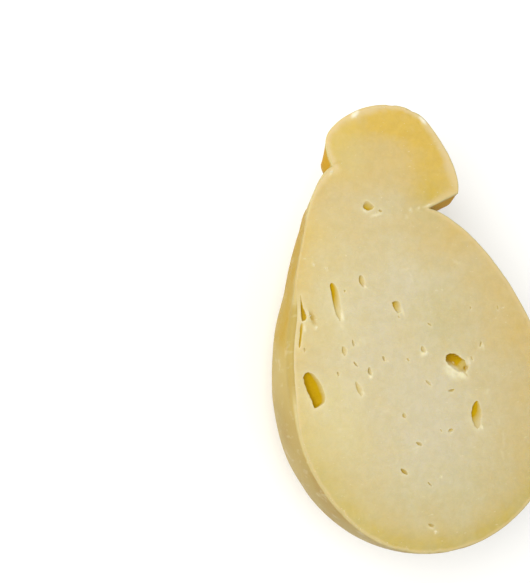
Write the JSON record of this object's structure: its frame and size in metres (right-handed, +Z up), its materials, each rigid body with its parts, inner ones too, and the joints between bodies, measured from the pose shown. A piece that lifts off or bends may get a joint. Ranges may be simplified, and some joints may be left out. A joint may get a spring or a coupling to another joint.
{
  "type": "half provola cheese",
  "caption": "Pear-shaped stretched-curd cheese with a short skewed head, cut in half lengthwise; pale paste with gas eyes, cream rind.",
  "frame": {"origin": "centre of the half's box on the plane it rests on", "axes": "+X to the right across the cut face, +Y from the ball toward the head, +Z up out of the cut face"},
  "size_m": [0.1296, 0.1964, 0.0696],
  "materials": {
    "cheese_paste": "satin, slightly waxy cheese"
  },
  "bodies": {
    "root": {"provola_half": "cheese_paste"}
  },
  "joints": []
}
